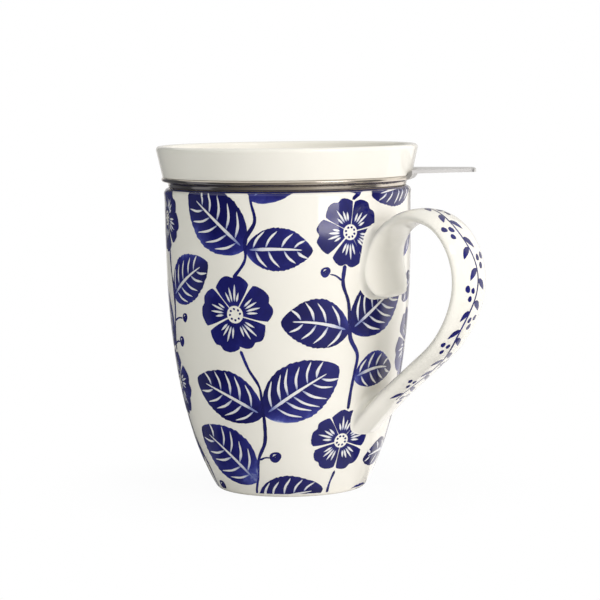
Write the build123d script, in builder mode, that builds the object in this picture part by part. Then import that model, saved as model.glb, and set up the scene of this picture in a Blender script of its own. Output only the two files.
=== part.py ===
"""Lidded tea mug with a lift-out infuser.

Millimetres, +Z up. The origin is on the mug's axis, at the level of the table,
and the handle points along +X. A porcelain mug carries a steel infuser that
hangs from its lip, and a loose porcelain lid stands on the infuser's rim.
"""

import os
from build123d import *

os.makedirs("parts", exist_ok=True)

# Mug body: a turned porcelain cup, its corners given as (radius, height)
LIP_TOP = 104.8
LIP_RADIUS = 42.75
LIP_WALL = 3.5
BELLY_LOW = (45.2, 35.0)
BELLY_HIGH = (42.0, 89.0)
FOOT_CORNER = (26.4, 1.2)
FOOT_RADIUS = 24.4
FOOT_INNER_RADIUS = 22.4
FOOT_RECESS_RADIUS = 20.6
FOOT_RECESS = 1.8
FLOOR_TOP = 5.5
FLOOR_FLAT_RADIUS = 17.5
FLOOR_CORNER = (24.0, 9.0)
INSIDE_LOW = (41.6, 36.0)
INSIDE_HIGH = (38.6, 88.0)

# Handle: a flat oval strap along a line in the XZ plane, made of arcs as (radius, turn)
STRAP_START = (44.75, 70.19)
STRAP_RISE = (-0.545, 0.8387)
PAD_ARC = (16.8, -75.0)
CROWN_ARC = (16.8, -97.0)
PALM_ARC = (23.0, -56.0)
ELBOW_ARC = (37.0, -36.0)
FOREARM = 23.0
ROOT_ARC = (39.0, 5.0)
ROOT_TAIL = 17.0
STRAP_WIDTH = 17.6
STRAP_THICK = 5.2
ROOT_FILLET = 2.0

# Thumb pad: sections of the strap along its first arc, as (share of the arc, width, thickness)
PAD_END = (0.0, 17.4, 3.6)
PAD_SECTIONS = (
    PAD_END, (0.1, 20.4, 4.6), (0.25, 22.2, STRAP_THICK), (0.5, 21.0, STRAP_THICK),
    (0.75, 19.0, STRAP_THICK), (1.0, STRAP_WIDTH, STRAP_THICK),
)

# Infuser rim: one drawn steel ring with a rolled bead, as (radius, height)
SHEET = 0.6
BEAD_RADIUS = 0.75
BEAD_CENTRE = (42.9, 107.8)
NECK_RADIUS = 41.0
NECK_TOP = 106.5
COLLAR_RADIUS = 38.3
COLLAR_BOTTOM = 97.6
SOCKET_BOTTOM = 93.0
SHEET_BEND = 0.7

# Basket: a slit steel sleeve, its floor and the hoop that clamps the two
BASKET_RADIUS = 32.5
BASKET_WALL = 0.5
BASKET_BOTTOM = 38.0
SLIT_WIDTH = 0.9
SLIT_LENGTH = 10.4
SLIT_BRIDGE = 2.0
SLIT_ROWS = 4
SLIT_COLUMNS = 36
FIRST_SLIT = 43.4
FLOOR_SLIT_LENGTH = 6.4
FLOOR_SLIT_RINGS = ((9.0, 10), (17.5, 20), (26.0, 30))
HOOP_HEIGHT = 4.2
HOOP_LIP = 2.4
HOOP_ROUND = 0.45

# Tab: the steel grip of the infuser, low at the bead and stepped up to its flat end
TAB_ANGLE = 40.0
TAB_SPREAD = 60.0
TAB_THICK = 1.2
TAB_TOP = 110.5
TAB_ROOT = 42.5
TAB_STEP_START = 43.9
TAB_STEP_END = 45.3
TAB_TIP = 65.2
TAB_BEND = 0.9
TAB_ROOT_WIDTH = 31.0
TAB_TIP_WIDTH = 14.0
TAB_CORNER = 3.0

# Lid: a porcelain dish with a locating ring below it
LID_BOTTOM = BEAD_CENTRE[1] + BEAD_RADIUS
LID_TOP = 119.3
LID_FOOT_RADIUS = 43.25
LID_RIM_RADIUS = 45.65
LID_WALL = 2.7
DISH_FLOOR = 111.7
DISH_RADIUS = 41.0
DISH_CORNER = 1.6
SPIGOT_RADIUS = 39.9
SPIGOT_WALL = 2.8
SPIGOT_BOTTOM = 105.7
LID_FOOT_ROUND = 0.35
LID_RIM_ROUND = 1.2
SPIGOT_ROUND = 0.8

# Mug: the outside is turned, the strap is joined to it, and the inside is cut last
lip_round = LIP_WALL / 2
lip_edge = LIP_TOP - lip_round
inside_radius = LIP_RADIUS - LIP_WALL
with BuildPart() as mug:
    with BuildSketch(Plane.YZ):
        with BuildLine():
            Polyline((0, LIP_TOP), (0, FOOT_RECESS), (FOOT_RECESS_RADIUS, FOOT_RECESS))
            Polyline((FOOT_RECESS_RADIUS, FOOT_RECESS), (FOOT_INNER_RADIUS, 0), (FOOT_RADIUS, 0))
            TangentArc((FOOT_RADIUS, 0), FOOT_CORNER, tangent=(1, 0))
            Bezier(FOOT_CORNER, BELLY_LOW, BELLY_HIGH, (LIP_RADIUS, lip_edge))
            TangentArc((LIP_RADIUS, lip_edge), (LIP_RADIUS - lip_round, LIP_TOP), tangent=(0, 1))
            Line((LIP_RADIUS - lip_round, LIP_TOP), (0, LIP_TOP))
        make_face()
    revolve(axis=Axis.Z)
    with BuildLine(Plane.XZ) as pad_line:
        pad = JernArc(STRAP_START, STRAP_RISE, *PAD_ARC)
    for share, width, thick in PAD_SECTIONS:
        with BuildSketch(Plane(pad @ share, x_dir=(0, 1, 0), z_dir=pad % share)):
            Ellipse(width / 2, thick / 2)
    sweep(path=pad_line.line, multisection=True)
    with BuildLine(Plane.XZ) as strap_line:
        crown = JernArc(pad @ 1, pad % 1, *CROWN_ARC)
        palm = JernArc(crown @ 1, crown % 1, *PALM_ARC)
        elbow = JernArc(palm @ 1, palm % 1, *ELBOW_ARC)
        forearm = Line(elbow @ 1, (elbow @ 1) + (elbow % 1) * FOREARM)
        root = JernArc(forearm @ 1, forearm % 1, *ROOT_ARC)
        Line(root @ 1, (root @ 1) + (root % 1) * ROOT_TAIL)
    with BuildSketch(Plane(crown @ 0, x_dir=(0, 1, 0), z_dir=crown % 0)):
        Ellipse(STRAP_WIDTH / 2, STRAP_THICK / 2)
    sweep(path=strap_line.line)
    end_plane = Plane(pad @ 0, x_dir=(0, 1, 0), z_dir=pad % 0)
    _, end_width, end_thick = PAD_END
    with BuildSketch(end_plane):
        Ellipse(end_width / 2, end_thick / 2)
        Rectangle(end_width, end_thick, align=(Align.CENTER, Align.MAX), mode=Mode.SUBTRACT)
    revolve(axis=Axis(end_plane.origin, (0, -1, 0)), revolution_arc=180)
    seams = mug.edges().filter_by(GeomType.BSPLINE).sort_by(SortBy.LENGTH)[-2:]
    fillet(seams, radius=ROOT_FILLET)
    with BuildSketch(Plane.YZ):
        with BuildLine():
            Polyline((0, LIP_TOP), (0, FLOOR_TOP), (FLOOR_FLAT_RADIUS, FLOOR_TOP))
            TangentArc((FLOOR_FLAT_RADIUS, FLOOR_TOP), FLOOR_CORNER, tangent=(1, 0))
            Bezier(FLOOR_CORNER, INSIDE_LOW, INSIDE_HIGH, (inside_radius, lip_edge))
            TangentArc((inside_radius, lip_edge), (inside_radius + lip_round, LIP_TOP), tangent=(0, 1))
            Line((inside_radius + lip_round, LIP_TOP), (0, LIP_TOP))
        make_face()
    revolve(axis=Axis.Z, mode=Mode.SUBTRACT)
mug.part.label = "mug"
export_step(mug.part, "parts/mug.step")

# Tab: sheet with a step that follows the bead, trimmed to a tapered outline
tab_section = Plane.XZ.rotated((0, 0, TAB_ANGLE - TAB_SPREAD / 2))
tab_plane = Plane.XY.rotated((0, 0, TAB_ANGLE))
tab_low = LID_BOTTOM - TAB_THICK / 2
tab_high = TAB_TOP - TAB_THICK / 2
root_half = TAB_ROOT_WIDTH / 2
tip_half = TAB_TIP_WIDTH / 2
with BuildPart() as infuser_tab:
    with BuildSketch(tab_section):
        with BuildLine():
            FilletPolyline(
                (TAB_ROOT, tab_low), (TAB_STEP_START, tab_low), (TAB_STEP_END, tab_high),
                (TAB_TIP + TAB_CORNER, tab_high), radius=TAB_BEND,
            )
        trace(line_width=TAB_THICK)
    revolve(axis=Axis.Z, revolution_arc=TAB_SPREAD)
    with BuildSketch(tab_plane) as tab_outline:
        with BuildLine():
            Polyline(
                (0, root_half), (TAB_ROOT, root_half), (TAB_TIP, tip_half),
                (TAB_TIP, -tip_half), (TAB_ROOT, -root_half), (0, -root_half), close=True,
            )
        make_face()
        fillet(tab_outline.vertices().sort_by(Axis.X)[-2:], radius=TAB_CORNER)
    extrude(amount=LID_TOP, mode=Mode.INTERSECT)
infuser_tab.part.label = "infuser_tab"
export_step(infuser_tab.part, "parts/infuser_tab.step")

# Infuser rim: bead, flare, neck, shoulder on the mug's lip, collar in its mouth, socket for the basket
half_sheet = SHEET / 2
socket_radius = BASKET_RADIUS + half_sheet
with BuildPart() as infuser_rim:
    with BuildSketch(Plane.XZ):
        with BuildLine():
            FilletPolyline(
                BEAD_CENTRE, (NECK_RADIUS, NECK_TOP), (NECK_RADIUS, LIP_TOP + half_sheet),
                (COLLAR_RADIUS, LIP_TOP + half_sheet), (COLLAR_RADIUS, COLLAR_BOTTOM),
                (socket_radius, COLLAR_BOTTOM), (socket_radius, SOCKET_BOTTOM),
                radius=SHEET_BEND,
            )
        trace(line_width=SHEET)
        with Locations(BEAD_CENTRE):
            Circle(BEAD_RADIUS)
    revolve(axis=Axis.Z)
    add(infuser_tab.part, mode=Mode.SUBTRACT)
infuser_rim.part.label = "infuser_rim"
export_step(infuser_rim.part, "parts/infuser_rim.step")

# Basket sleeve: a straight tube with upright slits all round
sleeve_height = COLLAR_BOTTOM - half_sheet - BASKET_BOTTOM - SHEET
slit_rise = SLIT_LENGTH + SLIT_BRIDGE
with BuildPart() as basket_sleeve:
    with BuildSketch(Plane.XY.offset(BASKET_BOTTOM + SHEET)):
        Circle(BASKET_RADIUS)
        Circle(BASKET_RADIUS - BASKET_WALL, mode=Mode.SUBTRACT)
    extrude(amount=sleeve_height)
    for row in range(SLIT_ROWS):
        slit_centre = FIRST_SLIT + SLIT_LENGTH / 2 + row * slit_rise
        with Locations((0, 0, slit_centre)):
            with PolarLocations(BASKET_RADIUS, SLIT_COLUMNS):
                Box(4 * BASKET_WALL, SLIT_WIDTH, SLIT_LENGTH, mode=Mode.SUBTRACT)
basket_sleeve.part.label = "basket_sleeve"
export_step(basket_sleeve.part, "parts/basket_sleeve.step")

# Basket floor: a disc with rings of radial slits, inside the sleeve
with BuildPart() as basket_floor:
    with BuildSketch(Plane.XY.offset(BASKET_BOTTOM + SHEET)):
        Circle(BASKET_RADIUS - BASKET_WALL)
        for ring_radius, ring_slits in FLOOR_SLIT_RINGS:
            with PolarLocations(ring_radius, ring_slits):
                Rectangle(FLOOR_SLIT_LENGTH, SLIT_WIDTH, mode=Mode.SUBTRACT)
    extrude(amount=BASKET_WALL)
basket_floor.part.label = "basket_floor"
export_step(basket_floor.part, "parts/basket_floor.step")

# Basket hoop: an L-section ring that carries the floor and closes the sleeve's lower edge
hoop_inside = BASKET_RADIUS - HOOP_LIP
hoop_outside = BASKET_RADIUS + SHEET
hoop_seat = BASKET_BOTTOM + SHEET
hoop_top = BASKET_BOTTOM + HOOP_HEIGHT
with BuildPart() as basket_hoop:
    with BuildSketch(Plane.XZ):
        with BuildLine():
            Polyline(
                (hoop_inside, BASKET_BOTTOM), (hoop_outside, BASKET_BOTTOM), (hoop_outside, hoop_top),
                (BASKET_RADIUS, hoop_top), (BASKET_RADIUS, hoop_seat), (hoop_inside, hoop_seat), close=True,
            )
        make_face()
    revolve(axis=Axis.Z)
    fillet(basket_hoop.edges().group_by(Axis.Z)[0].sort_by(SortBy.LENGTH)[-1], radius=HOOP_ROUND)
basket_hoop.part.label = "basket_hoop"
export_step(basket_hoop.part, "parts/basket_hoop.step")

# Lid: a flared wall round a shallow dish, with a ring that drops into the neck of the infuser
spigot_inside = SPIGOT_RADIUS - SPIGOT_WALL
with BuildPart() as lid:
    with BuildSketch(Plane.XZ):
        with BuildLine():
            Polyline(
                (0, LID_BOTTOM), (spigot_inside, LID_BOTTOM), (spigot_inside, SPIGOT_BOTTOM),
                (SPIGOT_RADIUS, SPIGOT_BOTTOM), (SPIGOT_RADIUS, LID_BOTTOM), (LID_FOOT_RADIUS, LID_BOTTOM),
                (LID_RIM_RADIUS, LID_TOP), (LID_RIM_RADIUS - LID_WALL, LID_TOP),
                (DISH_RADIUS, DISH_FLOOR), (0, DISH_FLOOR), close=True,
            )
        make_face()
    revolve(axis=Axis.Z)
    fillet(lid.edges().group_by(Axis.Z)[-1], radius=LID_RIM_ROUND)
    circles = lid.edges().filter_by(GeomType.CIRCLE)
    fillet(circles.filter_by_position(Axis.Z, DISH_FLOOR, DISH_FLOOR), radius=DISH_CORNER)
    circles = lid.edges().filter_by(GeomType.CIRCLE)
    lid_foot = circles.filter_by_position(Axis.Z, LID_BOTTOM, LID_BOTTOM).sort_by(SortBy.RADIUS)[-1]
    fillet(lid_foot, radius=LID_FOOT_ROUND)
    fillet(lid.edges().group_by(Axis.Z)[0], radius=SPIGOT_ROUND)
lid.part.label = "lid"
export_step(lid.part, "parts/lid.step")
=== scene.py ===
"""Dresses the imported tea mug: glaze, cobalt brushwork, steel, studio and camera."""

import math
import random

import bpy
import numpy as np
from mathutils import Matrix, Vector


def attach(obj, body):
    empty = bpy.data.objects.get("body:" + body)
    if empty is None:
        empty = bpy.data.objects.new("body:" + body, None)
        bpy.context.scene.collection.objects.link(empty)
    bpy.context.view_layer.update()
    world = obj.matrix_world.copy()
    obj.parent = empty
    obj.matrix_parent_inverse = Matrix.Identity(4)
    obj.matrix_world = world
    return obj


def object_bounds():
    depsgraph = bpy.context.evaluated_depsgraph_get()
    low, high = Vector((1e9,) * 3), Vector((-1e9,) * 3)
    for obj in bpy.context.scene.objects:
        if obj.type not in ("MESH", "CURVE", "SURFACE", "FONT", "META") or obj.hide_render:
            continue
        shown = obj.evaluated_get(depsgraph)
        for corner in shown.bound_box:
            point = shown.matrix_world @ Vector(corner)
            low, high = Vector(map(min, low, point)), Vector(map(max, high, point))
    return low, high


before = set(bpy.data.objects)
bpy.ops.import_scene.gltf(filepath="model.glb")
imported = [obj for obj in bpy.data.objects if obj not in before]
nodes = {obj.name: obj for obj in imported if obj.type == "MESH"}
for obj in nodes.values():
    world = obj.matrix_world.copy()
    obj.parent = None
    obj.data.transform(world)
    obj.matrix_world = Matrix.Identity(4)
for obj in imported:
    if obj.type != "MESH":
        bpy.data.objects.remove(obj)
cad_box = [list(v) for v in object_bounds()]
MM = 0.001


def add_object(name, data):
    o = bpy.data.objects.new(name, data)
    bpy.context.scene.collection.objects.link(o)
    return o


# ---------------------------------------------------------------- camera
VIEW_TURN = math.radians(40.0)  # the camera stands this far round from -Y, towards +X
CAM_BACK, CAM_UP = 822.38 * MM, 142.10 * MM
CAM_PITCH, CAM_YAW, CAM_ROLL = 0.093356, 0.004745, 0.012182  # radians
CAM_LENS, SENSOR_WIDTH = 142.05, 36.0
CLIP_NEAR, CLIP_FAR = 0.05, 30.0


def studio(right, away, up):
    """A point given as the camera sees it, in metres: right, away from it and up."""
    c, s = math.cos(VIEW_TURN), math.sin(VIEW_TURN)
    return Vector((c * right - s * away, s * right + c * away, up))


def make_camera():
    side = Vector((math.cos(CAM_YAW), -math.sin(CAM_YAW), 0))
    ahead = Vector((math.sin(CAM_YAW), math.cos(CAM_YAW), 0))
    aim = ahead * math.cos(CAM_PITCH) - Vector((0, 0, math.sin(CAM_PITCH)))
    head = ahead * math.sin(CAM_PITCH) + Vector((0, 0, math.cos(CAM_PITCH)))
    right = side * math.cos(CAM_ROLL) - head * math.sin(CAM_ROLL)
    up = side * math.sin(CAM_ROLL) + head * math.cos(CAM_ROLL)
    axes = [studio(*v) for v in (right, up, -aim)]
    place = Matrix([[a[i] for a in axes] for i in range(3)]).to_4x4()
    place.translation = studio(0, -CAM_BACK, CAM_UP)
    data = bpy.data.cameras.new("camera")
    data.sensor_width, data.lens = SENSOR_WIDTH, CAM_LENS
    data.clip_start, data.clip_end = CLIP_NEAR, CLIP_FAR
    cam = add_object("camera", data)
    cam.matrix_world = place
    bpy.context.scene.camera = cam


make_camera()

# ---------------------------------------------------------------- shader helpers


def material(name):
    """A new material, its node tree and its main shader."""
    mat = bpy.data.materials.new(name)
    mat.use_nodes = True
    return mat, mat.node_tree, mat.node_tree.nodes["Principled BSDF"]


def feed(tree, owner, key, value):
    """Links a node's output to a socket of the owner, or sets that socket to a plain value."""
    if isinstance(value, bpy.types.NodeSocket):
        tree.links.new(value, owner.inputs[key])
    else:
        owner.inputs[key].default_value = value


def node(tree, kind, values=None, **settings):
    n = tree.nodes.new(kind)
    for k, v in settings.items():
        setattr(n, k, v)
    for k, v in (values or {}).items():
        feed(tree, n, k, v)
    return n


def ramp(tree, source, stops, interpolation="LINEAR"):
    """A colour ramp with stops of (place, colour) or (place, grey level)."""
    n = node(tree, "ShaderNodeValToRGB", {"Fac": source})
    n.color_ramp.interpolation = interpolation
    while len(n.color_ramp.elements) < len(stops):
        n.color_ramp.elements.new(0.5)
    for e, (at, colour) in zip(n.color_ramp.elements, stops):
        e.position = at
        e.color = (*colour, 1.0) if isinstance(colour, tuple) else (colour, colour, colour, 1.0)
    return n.outputs["Color"]


def spread(tree, source, low, high):
    """Takes the middle values of a noise to the range between two colours or grey levels."""
    return ramp(tree, source, [(0.3, low), (0.75, high)])


def noise(tree, vector, scale, detail, rough=0.55):
    values = {"Vector": vector, "Scale": scale, "Detail": detail, "Roughness": rough}
    return node(tree, "ShaderNodeTexNoise", values).outputs["Fac"]


def maths(tree, op, a, b, clamp=False):
    return node(tree, "ShaderNodeMath", {0: a, 1: b}, operation=op, use_clamp=clamp).outputs[0]


def bump(tree, height, strength, distance):
    values = {"Strength": strength, "Distance": distance, "Height": height}
    return node(tree, "ShaderNodeBump", values).outputs["Normal"]


def object_space(tree):
    return tree.nodes.new("ShaderNodeTexCoord").outputs["Object"]


def mix_shaders(tree, fac, first, second, surface):
    """Joins two shader nodes by fac and shows them on the surface socket."""
    both = node(tree, "ShaderNodeMixShader", {0: fac, 1: first.outputs[0], 2: second.outputs[0]})
    tree.links.new(both.outputs[0], surface)


# ---------------------------------------------------------------- glaze and paint
# Noise scales are counts to a metre
GLAZE_IOR = 1.5
WAVE_SCALE, PEEL_SCALE, PEEL_SHARE = 34.0, 900.0, 0.003
GLAZE_BUMP, GLAZE_DEPTH = 0.10, 0.0012
GLOSS_SCALE, GLAZE_ROUGH = 60.0, (0.045, 0.085)
CLOUD_SCALE, CLOUD_TONES = 26.0, [(0.25, (0.845, 0.808, 0.722)), (0.8, (0.875, 0.842, 0.762))]
SPECK_SCALE, SPECK_STOPS = 1400.0, [(0.76, 0.0), (0.80, 1.0)]
SPECK_SHARE, SPECK_COLOUR = 0.10, (0.55, 0.50, 0.40, 1.0)

# A pigment's grains are (scale, detail, roughness, share)
COBALT_GRAINS, COBALT_GRAIN_DEPTH = [(95.0, 4.0, 0.6, 0.75), (620.0, 3.0, 0.6, 0.25)], 1.3
COBALT_TONES = [
    (0.0, (0.0040, 0.0045, 0.080)),
    (0.35, (0.0085, 0.0095, 0.125)),
    (0.62, (0.0220, 0.0260, 0.195)),
    (0.85, (0.0620, 0.0760, 0.320)),
    (1.0, (0.3000, 0.3400, 0.560)),
]
RESERVE_GRAINS, RESERVE_GRAIN_DEPTH = [(500.0, 3.0, 0.55, 1.0)], 0.5
RESERVE_TONES = [
    (0.0, (0.80, 0.78, 0.74)),
    (0.35, (0.62, 0.63, 0.70)),
    (0.7, (0.16, 0.20, 0.44)),
    (1.0, (0.03, 0.04, 0.20)),
]


def glaze_surface(tree, shader, place):
    """The gloss that bare glaze and painted glaze share: a slow wave and a faint orange peel."""
    wave = noise(tree, place, WAVE_SCALE, 2.0)
    peel = maths(tree, "MULTIPLY", noise(tree, place, PEEL_SCALE, 2.0), PEEL_SHARE)
    height = maths(tree, "ADD", wave, peel)
    feed(tree, shader, "Normal", bump(tree, height, GLAZE_BUMP, GLAZE_DEPTH))
    rough = spread(tree, noise(tree, place, GLOSS_SCALE, 4.0), *GLAZE_ROUGH)
    feed(tree, shader, "Roughness", rough)
    shader.inputs["IOR"].default_value = GLAZE_IOR


def make_glaze():
    """Ivory glaze: two near tones in clouds, with rare fine specks."""
    mat, tree, shader = material("porcelain_glaze")
    place = object_space(tree)
    tone = ramp(tree, noise(tree, place, CLOUD_SCALE, 5.0), CLOUD_TONES)
    speck = ramp(tree, noise(tree, place, SPECK_SCALE, 1.0), SPECK_STOPS)
    share = maths(tree, "MULTIPLY", speck, SPECK_SHARE)
    speckled = node(tree, "ShaderNodeMix", {0: share, 6: tone, 7: SPECK_COLOUR}, data_type="RGBA")
    feed(tree, shader, "Base Color", speckled.outputs[2])
    glaze_surface(tree, shader, place)
    return mat


def make_pigment(name, grains, depth, tones):
    """Colour under the glaze: the mesh's own wash, made uneven by the grains, picks the tone."""
    mat, tree, shader = material(name)
    place = object_space(tree)
    wash = node(tree, "ShaderNodeAttribute", attribute_name="wash").outputs["Fac"]
    grain = 0.0
    for scale, detail, rough, share in grains:
        part = maths(tree, "MULTIPLY", noise(tree, place, scale, detail, rough), share)
        grain = maths(tree, "ADD", grain, part)
    uneven = maths(tree, "MULTIPLY", maths(tree, "SUBTRACT", grain, 0.5), depth)
    level = maths(tree, "ADD", uneven, wash, clamp=True)
    feed(tree, shader, "Base Color", ramp(tree, level, tones))
    glaze_surface(tree, shader, place)
    return mat


GLAZE = make_glaze()
COBALT = make_pigment("cobalt_brushwork", COBALT_GRAINS, COBALT_GRAIN_DEPTH, COBALT_TONES)
RESERVE = make_pigment("reserved_line", RESERVE_GRAINS, RESERVE_GRAIN_DEPTH, RESERVE_TONES)

# ---------------------------------------------------------------- steel
SMUDGE_SCALE, SMUDGE_TONES = 70.0, (0.93, 1.05)
STREAK_SHARE, SMUDGE_SHARE = 0.6, 0.4
TOOL_MARK_DEPTH = 0.00002


def make_steel(name, streaks, tone, rough, relief):
    """Stainless steel with fine tool marks: streaks is how closely they lie along X, Y and Z."""
    mat, tree, shader = material(name)
    place = object_space(tree)
    stretched = node(tree, "ShaderNodeMapping", {"Vector": place, "Scale": streaks})
    streak = noise(tree, stretched.outputs["Vector"], 1.0, 4.0, 0.6)
    smudge = noise(tree, place, SMUDGE_SCALE, 4.0)
    dark, light = (tuple(v * k for v in tone) for k in SMUDGE_TONES)
    feed(tree, shader, "Base Color", spread(tree, smudge, dark, light))
    parts = [
        maths(tree, "MULTIPLY", source, share)
        for source, share in ((streak, STREAK_SHARE), (smudge, SMUDGE_SHARE))
    ]
    feed(tree, shader, "Roughness", spread(tree, maths(tree, "ADD", *parts), *rough))
    feed(tree, shader, "Normal", bump(tree, streak, relief, TOOL_MARK_DEPTH))
    shader.inputs["Metallic"].default_value = 1.0
    return mat


SPUN_STEEL = make_steel(
    "spun_steel", (30.0, 30.0, 4200.0), tone=(0.600, 0.550, 0.475), rough=(0.08, 0.16), relief=0.05
)
BASKET_STEEL = make_steel(
    "satin_steel", (60.0, 60.0, 1500.0), tone=(0.68, 0.66, 0.63), rough=(0.24, 0.36), relief=0.03
)
STEEL_SHEET = make_steel(
    "steel_sheet", (700.0, 700.0, 700.0), tone=(0.60, 0.60, 0.585), rough=(0.28, 0.40), relief=0.10
)

DRESS = {
    "mug": GLAZE,
    "lid": GLAZE,
    "infuser_rim": SPUN_STEEL,
    "infuser_tab": STEEL_SHEET,
    "basket_sleeve": BASKET_STEEL,
    "basket_floor": BASKET_STEEL,
    "basket_hoop": BASKET_STEEL,
}
for part, mat in DRESS.items():
    nodes[part].data.materials.clear()
    nodes[part].data.materials.append(mat)

# ---------------------------------------------------------------- where the paint goes
# Everything that is painted is measured in millimetres and degrees
FACING = -50.0  # azimuth of the mug's side that faces the camera
BODY_LOW, BODY_HIGH = 1.3, 104.3  # paint is laid between these heights
PROFILE = np.array([(26.4, 1.2), (45.2, 35.0), (42.0, 89.0), (42.75, 103.05)])
PROFILE_STEPS = 400
LIP_ROUND, LIP_STEPS = 1.75, 30
GIRTH = 42.5 * math.pi / 180  # millimetres to a degree, at the girth that the layout is drawn for
AROUND = 360 * GIRTH


def unit(v):
    return v / np.linalg.norm(v, axis=-1)[..., None]


def body_line():
    """The mug's outside as (radius, height) points, from the foot up and over the lip's round."""
    t = np.linspace(0.0, 1.0, PROFILE_STEPS)[:, None]
    side = (
        (1 - t) ** 3 * PROFILE[0] + 3 * (1 - t) ** 2 * t * PROFILE[1]
        + 3 * (1 - t) * t**2 * PROFILE[2] + t**3 * PROFILE[3]
    )
    curl = np.radians(np.linspace(2, 60, LIP_STEPS))
    radius = PROFILE[3, 0] - LIP_ROUND * (1 - np.cos(curl))
    return np.concatenate([side, np.stack([radius, PROFILE[3, 1] + LIP_ROUND * np.sin(curl)], -1)])


body_radius, body_height = body_line().T
body_lean = np.gradient(body_radius, body_height)


def on_body(turn, z):
    """Points and normals of the mug's outside, by degrees to the right of FACING and height."""
    z = np.clip(z, BODY_LOW, BODY_HIGH)
    r = np.interp(z, body_height, body_radius)
    a = np.radians(turn + FACING)
    n = unit(np.stack([np.cos(a), np.sin(a), -np.interp(z, body_height, body_lean)], -1))
    return np.stack([r * np.cos(a), r * np.sin(a), z], -1), n


# The strap's middle line: where it starts, where it heads, and its runs as (radius, degrees of
# turn), or as (None, length) where it is straight
STRAP_START, STRAP_RISE = (44.75, 70.19), (-0.545, 0.8387)
STRAP_RUNS = [(16.8, -172.0), (23.0, -56.0), (37.0, -36.0), (None, 23.0), (39.0, 5.0)]
STRAP_STEP = 0.5
STRAP_HALF, STRAP_DEEP = 8.8, 2.6  # half axes of its oval section
STRAP_REACH = 0.98  # how far towards the oval's edge it can be painted


def strap_line():
    """The middle of the strap as points and outward directions, one each STRAP_STEP."""
    at, way = np.array(STRAP_START), unit(np.array(STRAP_RISE))
    spots, ways = [at], [way]
    for radius, turn in STRAP_RUNS:
        length = turn if radius is None else radius * math.radians(abs(turn))
        steps = int(length / STRAP_STEP)
        swing = 0.0 if radius is None else math.radians(turn) / steps
        for _ in range(steps):
            c, s = math.cos(swing), math.sin(swing)
            ahead = np.array([c * way[0] - s * way[1], s * way[0] + c * way[1]])
            at = at + (way + ahead) / 2 * length / steps
            way = ahead
            spots.append(at)
            ways.append(way)
    ways = np.array(ways)
    return np.array(spots), np.stack([-ways[:, 1], ways[:, 0]], -1)


strap_spots, strap_out = strap_line()


def on_strap(along, across):
    """Points and normals of the strap's outer face, by length along its middle and across."""
    k = np.arange(len(strap_spots)) * STRAP_STEP
    p, out = ([np.interp(along, k, q[:, i]) for i in (0, 1)] for q in (strap_spots, strap_out))
    share = np.clip(across / STRAP_HALF, -STRAP_REACH, STRAP_REACH)
    deep = STRAP_DEEP * np.sqrt(1 - share**2)
    lean_x, lean_z = (v * deep / STRAP_DEEP**2 for v in out)
    n = unit(np.stack([lean_x, share / STRAP_HALF, lean_z], -1))
    return np.stack([p[0] + out[0] * deep, share * STRAP_HALF, p[1] + out[1] * deep], -1), n


# ---------------------------------------------------------------- brushes
SEED = 23
INK_LIFT, LINE_LIFT, LIP_LIFT = 0.03, 0.05, 0.10  # how far the paint lies above the glaze
LIP_FADE = 1.0  # below the lip's round, the paint reaches the lip's lift over this height
CAD_REACH = np.array(cad_box[1]) / MM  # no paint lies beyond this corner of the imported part's box
rng = random.Random(SEED)


class Paint:
    """Gathers painted patches that lie on the mug and makes one thin mesh of them."""

    def __init__(self, name, mat, lift):
        self.name, self.mat, self.lift = name, mat, lift
        self.points, self.normals, self.wash, self.faces = [], [], [], []

    def patch(self, p, n, wash, keep=None):
        """A grid of points with their normals; keep says which points may carry a face."""
        rows, cols = p.shape[:2]
        first = len(self.points)
        lift = self.lift + LIP_LIFT * np.clip(p[..., 2:] - PROFILE[3, 1] + LIP_FADE, 0, 1)
        lifted = np.minimum(p + lift * n, CAD_REACH)
        self.points.extend(lifted.reshape(-1, 3))
        self.normals.extend(n.reshape(-1, 3))
        self.wash.extend(np.broadcast_to(wash, (rows, cols)).reshape(-1))
        turning = np.cross(p[1:, :-1] - p[:-1, :-1], p[:-1, 1:] - p[:-1, :-1])
        order = 1 if np.einsum("ijk,ijk", turning, n[:-1, :-1]) > 0 else -1
        for i in range(rows - 1):
            for j in range(cols - 1):
                corner = [(i, j), (i + 1, j), (i + 1, j + 1), (i, j + 1)][::order]
                if keep is None or any(keep[c] for c in corner):
                    self.faces.append([first + a * cols + b for a, b in corner])

    def on_mug(self, turn, z, wash):
        self.patch(*on_body(turn, z), wash, (z > BODY_LOW) & (z < BODY_HIGH))

    def build(self):
        me = bpy.data.meshes.new(self.name)
        me.from_pydata([tuple(p * MM) for p in self.points], [], self.faces)
        me.update()
        wash = me.attributes.new("wash", "FLOAT", "POINT")
        wash.data.foreach_set("value", np.array(self.wash, np.float32))
        me.materials.append(self.mat)
        me.polygons.foreach_set("use_smooth", [True] * len(me.polygons))
        me.normals_split_custom_set_from_vertices([tuple(n) for n in self.normals])
        o = add_object(self.name, me)
        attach(o, "mug")


ink = Paint("brushed_motifs", COBALT, INK_LIFT)
lines = Paint("reserved_lines", RESERVE, LINE_LIFT)


def jitter(count, size, smooth=3):
    """A wandering line of numbers, the same on every run."""
    raw = np.array([rng.uniform(-1, 1) for _ in range(count + 2 * smooth)])
    return size * np.convolve(raw, np.ones(smooth) / smooth, "same")[smooth:-smooth]


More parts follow.
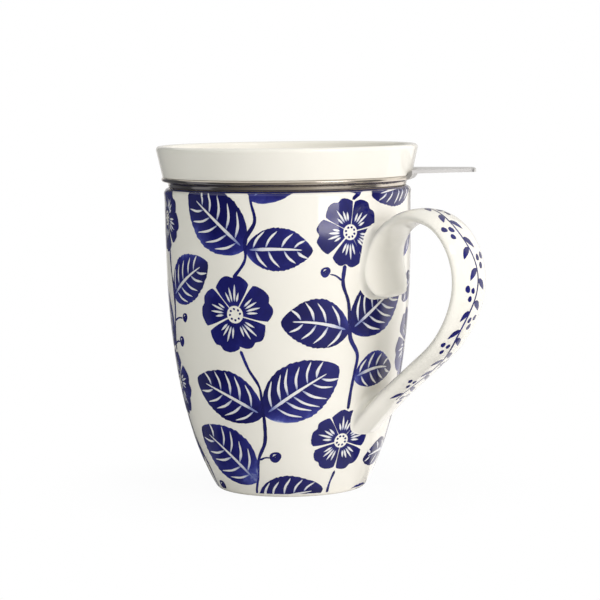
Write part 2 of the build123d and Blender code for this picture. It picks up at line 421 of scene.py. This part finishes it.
def curve_through(knots, values, at):
    """A smooth curve through the values, with slopes taken from their neighbours."""
    if len(knots) > 2:
        slopes = np.gradient(values, knots)
    else:
        slopes = np.full(2, (values[1] - values[0]) / knots[1])
    i = np.clip(np.searchsorted(knots, at, side="right") - 1, 0, len(knots) - 2)
    h = knots[i + 1] - knots[i]
    q = (at - knots[i]) / h
    return (
        values[i] * (1 + 2 * q) * (1 - q) ** 2 + values[i + 1] * q * q * (3 - 2 * q)
        + h * slopes[i] * q * (1 - q) ** 2 - h * slopes[i + 1] * q * q * (1 - q)
    )


BRUSH_ROW = np.linspace(-1, 1, 5)  # places across a brush line
BRUSH_END, BRUSH_THIN = 0.6, 0.02  # length of its rounded ends, and its least half width


def ribbon(points, widths, wander=0.05, step=0.6):
    """A brush line on the flat: x, y of a grid, and the share of its length."""
    pts = np.array(points, float)
    gaps = np.concatenate([[0], np.cumsum(np.linalg.norm(np.diff(pts, axis=0), axis=1))])
    count = max(7, int(gaps[-1] / step))
    s = np.linspace(0, gaps[-1], count)
    line = np.stack([curve_through(gaps, pts[:, k], s) for k in (0, 1)], -1)
    way = unit(np.gradient(line, axis=0))
    half = np.interp(s / gaps[-1], np.linspace(0, 1, len(widths)), widths) / 2
    ends = np.clip(np.minimum(s, gaps[-1] - s) / BRUSH_END, 0.03, 1)
    half = half * np.sqrt(ends) + jitter(count, wander)
    side = np.stack([-way[:, 1], way[:, 0]], -1) * np.maximum(half, BRUSH_THIN)[:, None]
    return line[:, None, :] + side[:, None, :] * BRUSH_ROW[:, None], (s / gaps[-1])[:, None]


FOOT_CURVE = 6.0  # below this height, the layout keeps the girth it has there


class Spot:
    """A place on the mug to draw at, in flat millimetres turned by spin degrees anticlockwise."""

    def __init__(self, turn, z, spin=0.0):
        self.turn, self.z, self.spin = turn, z, math.radians(spin)
        lean = float(np.interp(min(max(z, BODY_LOW), BODY_HIGH), body_height, body_lean))
        self.rise = 1 / math.sqrt(1 + lean**2)

    def __call__(self, x, y):
        c, s = math.cos(self.spin), math.sin(self.spin)
        z = self.z + (s * x + c * y) * self.rise
        r = np.interp(np.clip(z, FOOT_CURVE, BODY_HIGH), body_height, body_radius)
        return self.turn + np.degrees((c * x - s * y) / r), z


def stroke(paint, spot, points, widths, wash):
    """A brush line at the spot. Its widths and its washes are spread evenly along it."""
    line, share = ribbon(points, widths)
    tones = np.interp(share, np.linspace(0, 1, len(wash)), wash)
    paint.on_mug(*spot(line[..., 0], line[..., 1]), tones)


LEAF_STEPS, LEAF_ROW = 46, np.linspace(-1, 1, 17)
LEAF_TEETH, LEAF_TOOTH = 13, 0.022
LEAF_SWEEP = 0.16  # how far the flanks sweep up towards the tip
SPINE_SHARES = (0.07, 0.25, 0.45, 0.65, 0.84)
VEIN_GAP, VEIN_FIRST, VEIN_SPAN = 5.5, 0.15, 0.58


def leaf_shape(length, width, bend):
    """Shares of the length, the spine's x and y there, and the half widths."""
    u = np.linspace(0, 1, LEAF_STEPS)
    half = width / 2 * np.sin(np.pi * u**0.8) ** 0.7
    return u, bend * np.sin(np.pi * u), length * u, half


def leaf(spot, length, width, bend, tone):
    """A pointed leaf along +Y with a serrated edge, a pale flank and bare veins."""
    u, mid_x, mid_y, half = leaf_shape(length, width, bend)
    tooth = LEAF_TOOTH * width * (((u * LEAF_TEETH) % 1.0) - 0.5) * np.sin(np.pi * u)
    left, right = (half + tooth + jitter(LEAF_STEPS, 0.22, 4) for _ in range(2))
    w = np.maximum(np.where(LEAF_ROW < 0, left[:, None], right[:, None]), BRUSH_THIN)
    hand = rng.choice((-1, 1))
    flank = 0.45 * np.clip(hand * LEAF_ROW - 0.25, 0, 1) ** 1.5
    pale = flank + 0.35 * np.clip(1 - u[:, None] * 5, 0, 1)
    bloom = 0.20 * np.sin(u[:, None] * rng.uniform(3, 6) + LEAF_ROW * 1.5 + rng.uniform(0, 6))
    edge = 0.12 * (np.abs(LEAF_ROW) > 0.93)
    x, y = mid_x[:, None] + LEAF_ROW * w, mid_y[:, None] + LEAF_SWEEP * np.abs(LEAF_ROW) * w
    ink.on_mug(*spot(x, y), tone + pale + bloom + edge)
    spine = [(bend * math.sin(math.pi * q), length * q) for q in SPINE_SHARES]
    stroke(lines, spot, spine, (0.5, 1.1, 0.95, 0.7, 0.3), (0.8, 0.15, 0.0, 0.2))
    veins = max(3, round(length / VEIN_GAP))
    for k in range(veins):
        q = VEIN_FIRST + VEIN_SPAN * (k + rng.uniform(-0.12, 0.12)) / (veins - 1)
        for hand in (-1, 1):
            reach = hand * (np.interp(q + 0.13, u, half) * rng.uniform(0.70, 0.86))
            x, y = bend * math.sin(math.pi * q) + hand * 0.5, length * (q + 0.02 * hand)
            curl = [(x, y), (x + reach * 0.5, y + length * 0.055), (x + reach, y + length * 0.17)]
            widths = (0.35, rng.uniform(0.65, 1.0), 0.75, 0.25)
            stroke(lines, spot, curl, widths, (0.7, 0.15, 0.0, 0.25))


PETALS, PETAL_STEPS, PETAL_ROW = 5, 18, np.linspace(-1, 1, 21)
PETAL_HALF = 33.0  # degrees from a petal's middle to its side
PETAL_ROOT, EYE_DOTS, EYE_RING = 0.22, 8, 0.14
PETAL_RAYS = ((-0.52, 0.60), (-0.18, 0.72), (0.18, 0.70), (0.5, 0.58))  # (side share, reach)


def petal_edge():
    """The reach of a petal's outer edge: a flat arch with a notch just off its middle."""
    notch = 0.08 * np.exp(-((PETAL_ROW - 0.1) / 0.18) ** 2)
    return 0.74 + 0.26 * np.cos(PETAL_ROW * 1.3) ** 0.6 - notch


def petal_wash(u):
    """Paler at its root and its sides, by the share of its length."""
    sides = 0.3 * np.clip(np.abs(PETAL_ROW) - 0.55, 0, 1)
    return 0.6 * np.clip(0.35 - u, 0, 1) + sides + 0.12 * u


def blossom(spot, radius, tone):
    """Five notched petals parted by bare gaps, each with bare rays, round a ring of dots."""
    u = np.linspace(0, 1, PETAL_STEPS)[:, None]
    swing = np.radians(PETAL_HALF) * PETAL_ROW * (1 + 0.05 * np.sin(np.pi * u))
    root = radius * PETAL_ROOT
    for k in range(PETALS):
        spin = math.degrees(spot.spin) + 360 // PETALS * k + rng.uniform(-3, 3)
        petal = Spot(spot.turn, spot.z, spin)
        edge = radius * rng.uniform(0.94, 1.04) * petal_edge()
        rad = root + (edge + jitter(len(PETAL_ROW), 0.3) - root) * u
        ink.on_mug(*petal(rad * np.sin(swing), rad * np.cos(swing)), tone + petal_wash(u))
        for at, far in PETAL_RAYS:
            a, far = math.radians(PETAL_HALF) * at, far * rng.uniform(0.9, 1.08)
            ray = [
                (radius * q * math.sin(a * (0.8 + 0.5 * q)), radius * q * math.cos(a))
                for q in (0.32, 0.48, far)
            ]
            stroke(lines, petal, ray, (0.3, 0.75, 0.65, 0.2), (0.6, 0.1, 0.1, 0.4))
    ring = radius * EYE_RING
    for k in range(EYE_DOTS):
        a = 2 * math.pi * (k + rng.uniform(-0.1, 0.1)) / EYE_DOTS
        dot(spot, ring * math.cos(a), ring * math.sin(a), 0.4, 0.2)


def round_patch(radius, seed):
    """A slightly uneven disc: x, y grids with a pinhole centre, and the share of the radius."""
    a, u = np.linspace(0, 2 * np.pi, 21), np.linspace(0.03, 1, 4)[:, None]
    uneven = 1 + 0.08 * np.sin(2 * a + seed) + 0.05 * np.sin(3 * a + 2 * seed)
    return radius * u * np.cos(a) * uneven, radius * u * np.sin(a) * uneven, u


def dot(spot, x0, y0, radius, tone):
    x, y, u = round_patch(radius, x0 * 3 + y0 * 5)
    ink.on_mug(*spot(x0 + x, y0 + y), tone + 0.2 * u)


def berry(spot, radius, tone):
    """A round berry with a bare glint."""
    dot(spot, 0, 0, radius, tone)
    glint = [(x * radius, y * radius) for x, y in ((-0.45, 0.1), (-0.2, 0.42), (0.2, 0.5))]
    stroke(lines, spot, glint, (0.15, 0.45, 0.15), (0.3, 0.0, 0.3))


# ---------------------------------------------------------------- the layout
# Seven rising branches; on each, where blossoms sit and how big they are
BLOSSOMS = [
    [(64.0, 13.5)],
    [(20.0, 12.0), (91.0, 12.0)],
    [(50.0, 14.0)],
    [(82.0, 13.0)],
    [(33.0, 13.5)],
    [(70.0, 13.5), (9.0, 11.0)],
    [(38.0, 12.5), (95.0, 11.5)],
]
FIRST_BRANCH, SWAY_RATE = -22.0, 0.085
STALK_FOOT, STALK_TOP, STALK_KNOT, SHORTEST_STALK = -5.0, 108.0, 5.5, 4
BLOSSOM_COVER = (1.0, 0.6, 0.2)  # rings of a blossom that are noted as drawn on
# Leaf places, counted in points of a stalk's middle line: how far apart, and how far to each
# side the stalk's lead is measured
SPRIG_GAP, SPRIG_REACH = 14, 4
LEAF_SIZES = (31.0, 28.0, 25.0, 22.0, 19.0, 16.0)
LEAF_SWINGS = (50, 40, 62, 76, 92)  # degrees that a leaf can stand off its stalk
LEAF_TONES = (0.02, 0.08, 0.16, 0.28)
COVER_ROW, COVER_STRIDE = np.array([-1.0, -0.5, 0.0, 0.5, 1.0]), 3
LEAF_GAP, LEAF_ROOT = 2.4, 0.2  # a leaf keeps this gap, except along its root
BERRY_GAP, BERRY_ROOM = 1.2, 2.2


class Ground:
    """Points that are drawn on already, as (millimetres round the girth, height)."""

    def __init__(self):
        self.taken = np.empty((0, 2))

    def take(self, points):
        self.taken = np.concatenate([self.taken, points])

    def is_clear(self, points, gap):
        dx = np.abs(points[:, None, 0] - self.taken[:, 0]) % AROUND
        dx = np.minimum(dx, AROUND - dx)
        return bool((dx**2 + (points[:, None, 1] - self.taken[:, 1]) ** 2).min() > gap**2)


ground = Ground()


def outline(spot, x, y):
    turn, z = spot(x, y)
    return np.stack([turn.reshape(-1) * GIRTH, z.reshape(-1)], -1)


def stem(points, width):
    """A wavering stalk through (turn, height) points; gives the points of its middle back."""
    flat = np.array(points, float) * (GIRTH, 1.0)
    line, share = ribbon(flat, (width, width * 0.8, width * 1.15, width * 0.75, width), 0.12)
    tones = 0.25 + 0.22 * np.sin(share * 9 + flat[0, 0])
    ink.on_mug(line[..., 0] / GIRTH, line[..., 1], tones)
    return line[:, 2]


def draw_branches():
    """The blossoms, and the stalks between them; gives the stalks' middle lines back."""
    stalks = []
    for k, blooms in enumerate(BLOSSOMS):
        middle = FIRST_BRANCH + 360.0 / len(BLOSSOMS) * k + rng.uniform(-2, 2)
        sway, phase = rng.uniform(3.5, 5.5), rng.uniform(0, 6)
        ends = [STALK_FOOT]
        for z, radius in sorted(blooms):
            turn = middle + sway * math.sin(SWAY_RATE * z + phase)
            spot = Spot(turn, z, rng.uniform(0, 72))
            blossom(spot, radius, rng.uniform(0.06, 0.22))
            a = np.linspace(0, 2 * np.pi, 30)
            for share in BLOSSOM_COVER:
                reach = share * radius
                ground.take(outline(spot, reach * np.cos(a), reach * np.sin(a)))
            ends += [z - radius * 0.9, z + radius * 0.9]
        for low, high in zip(ends[::2], ends[1::2] + [STALK_TOP]):
            if high - low > SHORTEST_STALK:
                zs = np.linspace(low, high, max(4, round((high - low) / STALK_KNOT)))
                turns = middle + sway * np.sin(SWAY_RATE * zs + phase) + jitter(len(zs), 2.2, 1)
                stalks.append(stem(np.stack([turns, zs], -1), rng.uniform(1.2, 1.6)))
    for stalk in stalks:
        ground.take(stalk[::3])
    return stalks


def find_sprigs(stalks):
    """Places along the stalks for a leaf or a berry, as (point, the stalk's lead, side)."""
    sprigs = []
    for s in stalks:
        for i in range(SPRIG_REACH, len(s) - SPRIG_REACH, SPRIG_GAP):
            lead = s[min(i + SPRIG_REACH, len(s) - 1)] - s[max(i - SPRIG_REACH, 0)]
            angle = math.degrees(math.atan2(-lead[0], lead[1]))
            sprigs += [(tuple(s[i]), angle, hand) for hand in (1, -1)]
    return sprigs


def draw_leaves(sprigs):
    """Puts the largest leaf that has room at each sprig, and takes that sprig off the list."""
    for size in LEAF_SIZES:
        for sprig in list(sprigs):
            at, lead, hand = sprig
            for swing in LEAF_SWINGS:
                length, width = size * rng.uniform(0.95, 1.05), size * rng.uniform(0.58, 0.68)
                bend = hand * rng.uniform(0.2, 1.8)
                spot = Spot(at[0] / GIRTH, at[1], lead + hand * swing)
                shape = leaf_shape(length, width, bend)
                u, mid_x, mid_y, half = (v[::COVER_STRIDE] for v in shape)
                cover = outline(spot, mid_x + half * COVER_ROW[:, None], mid_y)
                if ground.is_clear(cover[np.tile(u, len(COVER_ROW)) > LEAF_ROOT], LEAF_GAP):
                    leaf(spot, length, width, bend, rng.choice(LEAF_TONES))
                    ground.take(cover)
                    sprigs.remove(sprig)
                    break


def draw_berries(sprigs):
    for at, lead, hand in sprigs:
        far, a = rng.uniform(6, 9), np.linspace(0, 2 * np.pi, 12)
        spot = Spot(at[0] / GIRTH, at[1], lead + hand * rng.uniform(45, 80))
        ring = outline(spot, BERRY_ROOM * np.cos(a), far + BERRY_ROOM * np.sin(a))
        if ground.is_clear(ring, BERRY_GAP):
            berry(Spot(*spot(0.0, far)), rng.uniform(1.6, 2.1), rng.uniform(0.05, 0.25))
            stalk = [(0, 0.3), (0.5 * hand, far * 0.5), (0, far - 1.6)]
            stroke(ink, spot, stalk, (0.9, 0.6, 0.5), (0.3, 0.4, 0.3))
            ground.take(ring)


VINE_FROM, VINE_TO, VINE_KNOT = 22.0, 122.0, 4.0  # lengths along the strap
VINE_SWAY, VINE_WAVE, VINE_PITCH = 1.6, 5.5, 3.2
VINE_CLUSTER = ((0.0, 2.3), (2.4, 3.4), (-0.6, 5.0))  # three dots, as (ahead, out)


def strap_vine():
    """A small vine up the strap's outer face: a wavering stalk with paired leaves and dots."""
    s = np.arange(VINE_FROM, VINE_TO, VINE_KNOT)
    flat = np.stack([s, VINE_SWAY * np.sin((s - VINE_FROM) / VINE_WAVE)], -1)
    line, share = ribbon(flat, (0.8, 0.6, 0.9, 0.6), 0.06)
    ink.patch(*on_strap(line[..., 0], line[..., 1]), 0.3 + 0.2 * np.sin(share * 23))
    for k, at in enumerate(np.arange(VINE_FROM + 2.0, VINE_TO - 2.0, VINE_PITCH)):
        root = np.array([at, VINE_SWAY * math.sin((at - VINE_FROM) / VINE_WAVE)])
        hand = 1 if k % 2 else -1
        if k % 3 == 2:
            for ahead, out in VINE_CLUSTER:
                x, y, u = round_patch(rng.uniform(0.9, 1.15), at)
                place = on_strap(root[0] + ahead + x, root[1] + hand * out + y)
                ink.patch(*place, 0.15 + 0.2 * u)
            continue
        tip = root + (3.4, hand * rng.uniform(3.4, 4.4))
        middle = (root + tip) / 2 + (-0.3, 0.35 * hand)
        line, share = ribbon([root, middle, tip], (0.4, 1.9, 2.2, 1.4, 0.3), 0.05, 0.3)
        ink.patch(*on_strap(line[..., 0], line[..., 1]), 0.15 + 0.3 * share)


def lip_line():
    """A thin blue line on the round of the mug's lip."""
    a = np.radians(np.linspace(0, 360, 361))
    curl = np.radians(np.linspace(50, 84, 4))[:, None]
    level = np.sin(curl) * np.ones_like(a)
    n = np.stack([np.cos(curl) * np.cos(a), np.cos(curl) * np.sin(a), level], -1)
    middle, z = PROFILE[3, 0] - LIP_ROUND, PROFILE[3, 1]
    ring = np.stack([middle * np.cos(a), middle * np.sin(a), np.full_like(a, z)], -1)
    ink.patch(ring + LIP_ROUND * n, n, 0.25 + 0.15 * np.sin(3 * a))


# The random draws follow this order
sprigs = find_sprigs(draw_branches())
draw_leaves(sprigs)
draw_berries(sprigs)
strap_vine()
lip_line()
for paint in (ink, lines):
    paint.build()

# ---------------------------------------------------------------- lamps and world
SOFT_COLOUR, SOFT_LEVEL = (0.97, 1.0, 0.99, 1.0), 0.64
WHITE = (1.0, 1.0, 1.0, 1.0)


def lamp(name, at, aim, size, power, colour=WHITE[:3], mirrored=True):
    """A soft box. With mirrored off it lights the object but isn't seen in the gloss."""
    data = bpy.data.lights.new(name, "AREA")
    data.shape = "RECTANGLE"
    data.size, data.size_y = size
    data.energy, data.color = power, colour
    o = add_object(name, data)
    o.location = studio(*at)
    o.rotation_mode = "QUATERNION"
    o.rotation_quaternion = (studio(*aim) - o.location).to_track_quat("-Z", "Y")
    o.visible_glossy = mirrored


lamp(
    "key", at=(0.81, -0.78, 0.50), aim=(0.0, 0.0, 0.06), size=(0.6, 0.9), power=8.8,
    colour=(1.0, 0.975, 0.995),
)
lamp("top", at=(0.0, 0.1, 1.2), aim=(0.0, 0.0, 0.1), size=(0.8, 0.8), power=0.2, mirrored=False)


def seen_directly(tree):
    """One where a surface is seen by the camera, in a mirror or through glass."""
    ways = tree.nodes.new("ShaderNodeLightPath").outputs
    mirrored = maths(tree, "MAXIMUM", ways["Is Glossy Ray"], ways["Is Transmission Ray"])
    return maths(tree, "MAXIMUM", ways["Is Camera Ray"], mirrored)


def make_world():
    """White where it is seen, and a soft level where it lights the object."""
    world = bpy.data.worlds.new("studio")
    bpy.context.scene.world = world
    world.use_nodes = True
    tree = world.node_tree
    tree.nodes.clear()
    soft = node(tree, "ShaderNodeBackground", {"Color": SOFT_COLOUR, "Strength": SOFT_LEVEL})
    white = node(tree, "ShaderNodeBackground", {"Color": WHITE, "Strength": 1.0})
    surface = tree.nodes.new("ShaderNodeOutputWorld").inputs["Surface"]
    mix_shaders(tree, seen_directly(tree), soft, white, surface)


# ---------------------------------------------------------------- floor, walls and card
FLOOR_SIZE, FLOOR_DROP = 8.0, 0.00005
FLOOR_TONE, FLOOR_ROUGH, FLOOR_SPECULAR = (0.93, 0.93, 0.93, 1.0), 0.9, 0.1
GLOW_REACH = 0.5  # metres from the axis to which the ramp of the floor's own light is drawn
GLOW_STOPS = [(0.06, 0.94), (0.20, 1.0)]

WALL_HOLE, WALL_RADIUS, WALL_TOP, WALL_SIDES = 0.02, 0.9, 0.60, 72
WALL_PEAK = 2.0  # a ramp's colours end at one, so the walls' brightness is a share of this
WARM, COOL, PLAIN = (1.0, 0.94, 0.86), (0.92, 0.95, 1.1), (1.0, 0.97, 0.95)
# Light of the studio's walls, as (degrees to the right of the camera, brightness, tint)
WALL_LIGHT = [
    (-180, 0.72, PLAIN), (-162, 0.72, PLAIN), (-156, 0.14, COOL), (-104, 0.05, COOL),
    (-100, 0.24, COOL), (-78, 0.24, COOL), (-74, 0.07, COOL), (-50, 0.12, WARM),
    (-25, 0.24, WARM), (0, 0.34, WARM), (20, 0.52, WARM), (33, 0.68, PLAIN),
    (61, 0.62, PLAIN), (63, 0.16, PLAIN), (92, 0.20, PLAIN), (99, 1.3, PLAIN),
    (148, 1.3, PLAIN), (152, 0.30, PLAIN), (158, 0.72, PLAIN), (180, 0.72, PLAIN),
]

CARD_AWAY, CARD_SPAN, CARD_HEIGHTS = 0.45, (27.0, 46.0), (0.056, 0.067)
CARD_COLOUR, CARD_LIGHT = (1.0, 0.96, 0.98, 1.0), 7.0


def stage_piece(name, verts, faces, mat):
    me = bpy.data.meshes.new(name)
    me.from_pydata(verts, [], faces)
    me.materials.append(mat)
    o = add_object(name, me)
    return o


def gloss_only(o):
    """Turns a piece that is given as the camera sees it, and hides it from all but gloss."""
    o.rotation_euler.z = VIEW_TURN
    for way in ("camera", "diffuse", "transmission", "shadow", "volume_scatter"):
        setattr(o, "visible_" + way, False)


def make_glow(name):
    """A material that only shines, with its tree and its light."""
    mat, tree, _ = material(name)
    glow = tree.nodes.new("ShaderNodeEmission")
    tree.links.new(glow.outputs[0], tree.nodes["Material Output"].inputs["Surface"])
    return mat, tree, glow


def make_floor():
    """A white table. Its own light is a little less under the object, where the shadow stays."""
    mat, tree, shader = material("pale_floor")
    shader.inputs["Base Color"].default_value = FLOOR_TONE
    shader.inputs["Roughness"].default_value = FLOOR_ROUGH
    shader.inputs["Specular IOR Level"].default_value = FLOOR_SPECULAR
    far = node(tree, "ShaderNodeVectorMath", {0: object_space(tree)}, operation="LENGTH")
    reach = maths(tree, "MULTIPLY", far.outputs["Value"], 1 / GLOW_REACH)
    fac = maths(tree, "MULTIPLY", seen_directly(tree), ramp(tree, reach, GLOW_STOPS, "EASE"))
    glow = node(tree, "ShaderNodeEmission", {"Color": WHITE, "Strength": 1.0})
    mix_shaders(tree, fac, shader, glow, tree.nodes["Material Output"].inputs["Surface"])
    corners = [(x * FLOOR_SIZE, y * FLOOR_SIZE, 0) for x, y in ((-1, -1), (1, -1), (1, 1), (-1, 1))]
    stage_piece("floor", corners, [(0, 1, 2, 3)], mat).location.z = -FLOOR_DROP


def make_walls():
    """Dim studio walls and table with bright panels. Only gloss sees them."""
    n = WALL_SIDES
    turns = [2 * math.pi * k / n for k in range(n)]
    rings = ((WALL_HOLE, 0.0), (WALL_RADIUS, 0.0), (WALL_RADIUS, WALL_TOP))
    verts = [(r * math.cos(a), r * math.sin(a), z) for r, z in rings for a in turns]
    beside = [(k, (k + 1) % n) for k in range(n)]
    faces = [(m + k, m + j, m + n + j, m + n + k) for m in (0, n) for k, j in beside]
    mat, tree, glow = make_glow("wall_light")
    split = node(tree, "ShaderNodeSeparateXYZ", {0: object_space(tree)}).outputs
    # the angle from -Y, which is where the camera stands, counted towards +X
    turn = maths(tree, "ARCTAN2", split["X"], maths(tree, "MULTIPLY", split["Y"], -1.0))
    level = maths(tree, "ADD", maths(tree, "DIVIDE", turn, 2 * math.pi), 0.5)
    stops = [
        ((degrees + 180) / 360, tuple(bright / WALL_PEAK * c for c in tint))
        for degrees, bright, tint in WALL_LIGHT
    ]
    feed(tree, glow, "Color", ramp(tree, level, stops))
    glow.inputs["Strength"].default_value = WALL_PEAK
    gloss_only(stage_piece("studio_walls", verts, faces, mat))


def make_card():
    """A small bright panel, lower than the rim. Only gloss sees it."""
    ends = [math.radians(d) for d in CARD_SPAN]
    verts = [
        (CARD_AWAY * math.sin(a), -CARD_AWAY * math.cos(a), z) for a in ends for z in CARD_HEIGHTS
    ]
    mat, _, glow = make_glow("card_light")
    glow.inputs["Color"].default_value = CARD_COLOUR
    glow.inputs["Strength"].default_value = CARD_LIGHT
    gloss_only(stage_piece("low_card", verts, [(0, 2, 3, 1)], mat))


make_world()
make_floor()
make_walls()
make_card()
bpy.context.scene.view_settings.view_transform = "Standard"
